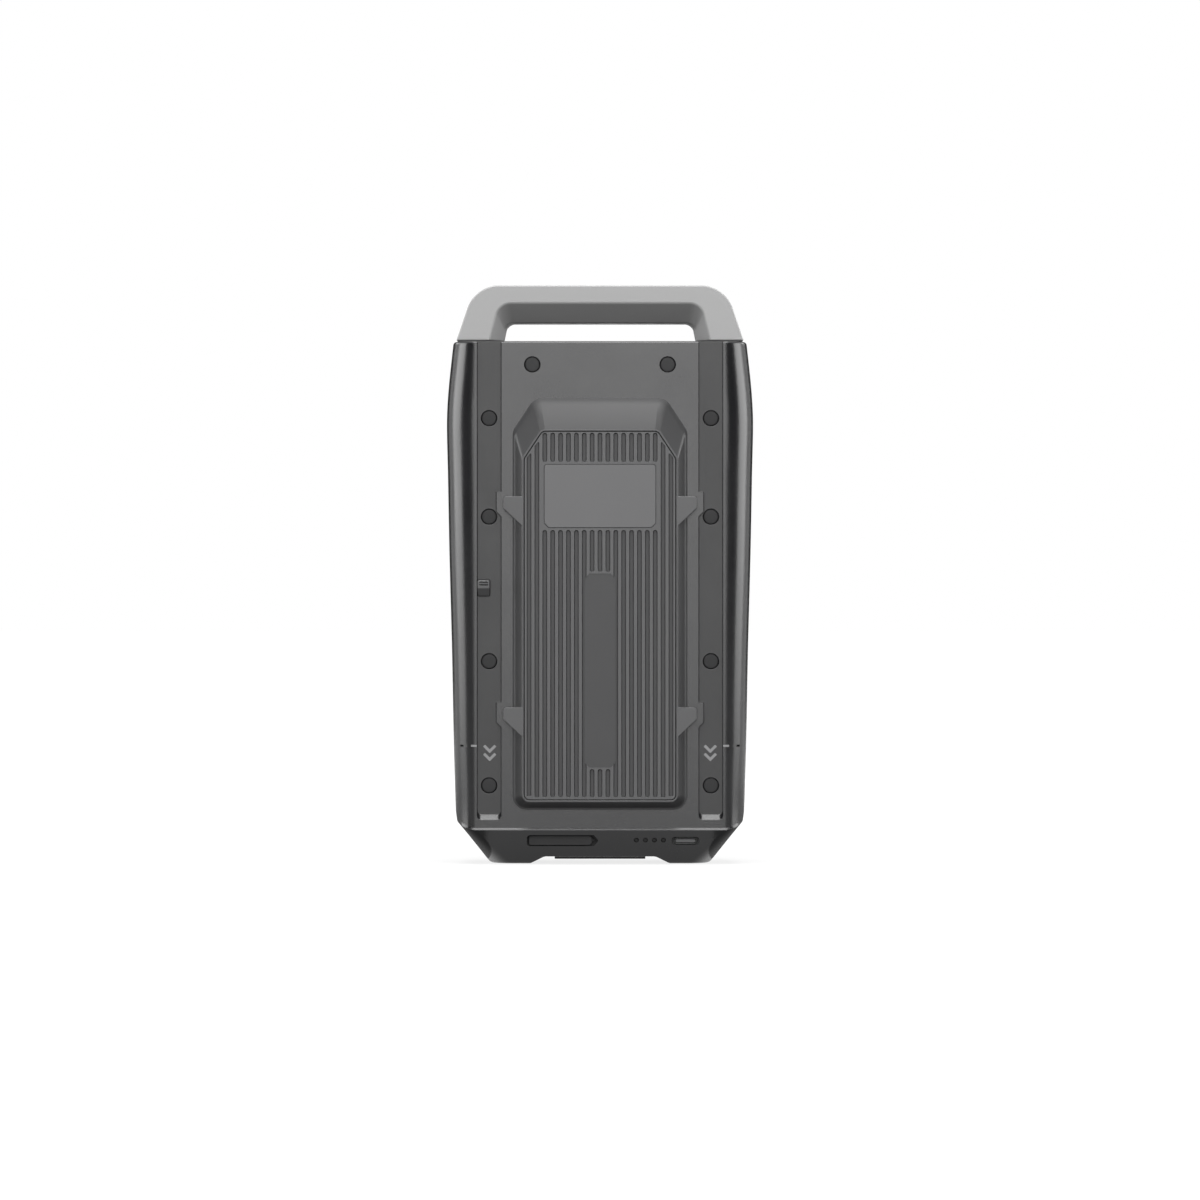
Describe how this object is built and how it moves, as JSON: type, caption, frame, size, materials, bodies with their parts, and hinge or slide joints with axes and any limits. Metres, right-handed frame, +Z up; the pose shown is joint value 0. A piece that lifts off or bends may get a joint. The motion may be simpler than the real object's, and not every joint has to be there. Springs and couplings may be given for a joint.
{
  "type": "portable power station battery pack",
  "caption": "Slim upright battery pack with a fixed carry handle, ribbed front block, hook ears and guide channels for a slide-in bay, port flap and power button.",
  "frame": {"origin": "middle of the overall box at the base, on the surface the pack stands on", "axes": "+Z up along the height, -Y out of the ribbed front face, +X to the right seen from the front"},
  "size_m": [0.1876, 0.086, 0.354],
  "materials": {
    "shell_plastic": "fine spark-eroded grain, dark grey",
    "cover_plastic": "fine grain, dark grey, a little lighter",
    "label_plastic": "smooth matt grey film, blank",
    "handle_plastic": "satin light grey",
    "plug_rubber": "matt dark grey",
    "screw_steel": "zinc plated",
    "flap_rubber": "matt near black",
    "socket_steel": "stamped and plated",
    "lamp_plastic": "clear light guide",
    "trim_plastic": "black, plain",
    "button_plastic": "satin mid grey",
    "catch_plastic": "slick low-friction moulding",
    "spring_steel": "music wire",
    "board_laminate": "glass fibre laminate, green resist",
    "cell_can": "sleeved cell cans"
  },
  "bodies": {
    "pack_body": {"front_shell": "shell_plastic", "rear_shell": "shell_plastic", "raised_cover": "cover_plastic", "ribbed_insert": "cover_plastic", "label_plate": "label_plastic", "handle": "handle_plastic", "screw_plug_1": "plug_rubber", "case_screw_1": "screw_steel", "screw_plug_2": "plug_rubber", "case_screw_2": "screw_steel", "screw_plug_3": "plug_rubber", "case_screw_3": "screw_steel", "screw_plug_4": "plug_rubber", "case_screw_4": "screw_steel", "screw_plug_5": "plug_rubber", "case_screw_5": "screw_steel", "screw_plug_6": "plug_rubber", "case_screw_6": "screw_steel", "screw_plug_7": "plug_rubber", "case_screw_7": "screw_steel", "screw_plug_8": "plug_rubber", "case_screw_8": "screw_steel", "screw_plug_9": "plug_rubber", "case_screw_9": "screw_steel", "screw_plug_10": "plug_rubber", "case_screw_10": "screw_steel", "handle_screw_left": "screw_steel", "handle_screw_right": "screw_steel", "port_socket_left": "socket_steel", "port_socket_right": "socket_steel", "light_pipe": "lamp_plastic", "button_bezel": "trim_plastic", "button_switch": "trim_plastic", "front_board": "board_laminate", "catch_housing": "trim_plastic", "catch_spring": "spring_steel", "dock_connector": "trim_plastic", "pack_board": "board_laminate", "cell_holder_front": "trim_plastic", "cell_holder_rear": "trim_plastic", "cell_row_1": "cell_can", "cell_row_2": "cell_can", "cell_row_3": "cell_can", "cell_row_4": "cell_can", "cell_row_5": "cell_can", "cell_row_6": "cell_can"},
    "flap": {"port_flap": "flap_rubber"},
    "button": {"power_button": "button_plastic"},
    "catch": {"spring_catch": "catch_plastic"}
  },
  "joints": [
    {"name": "flap_hinge", "type": "hinge", "parent": "pack_body", "child": "flap", "pos_m": [-0.04225, -0.02752, 0.01425], "axis": [0, 0, -1], "range_deg": [0, 90]},
    {"name": "button_press", "type": "slide", "parent": "pack_body", "child": "button", "axis": [0, 1, 0], "range_m": [0, 0.0006], "stiffness_N_per_m": 2500, "springref_m": -0.0004},
    {"name": "catch_slide", "type": "slide", "parent": "pack_body", "child": "catch", "axis": [0, 1, 0], "range_m": [0, 0.0045], "stiffness_N_per_m": 700, "springref_m": -0.004, "deforming": ["catch_spring"]}
  ]
}
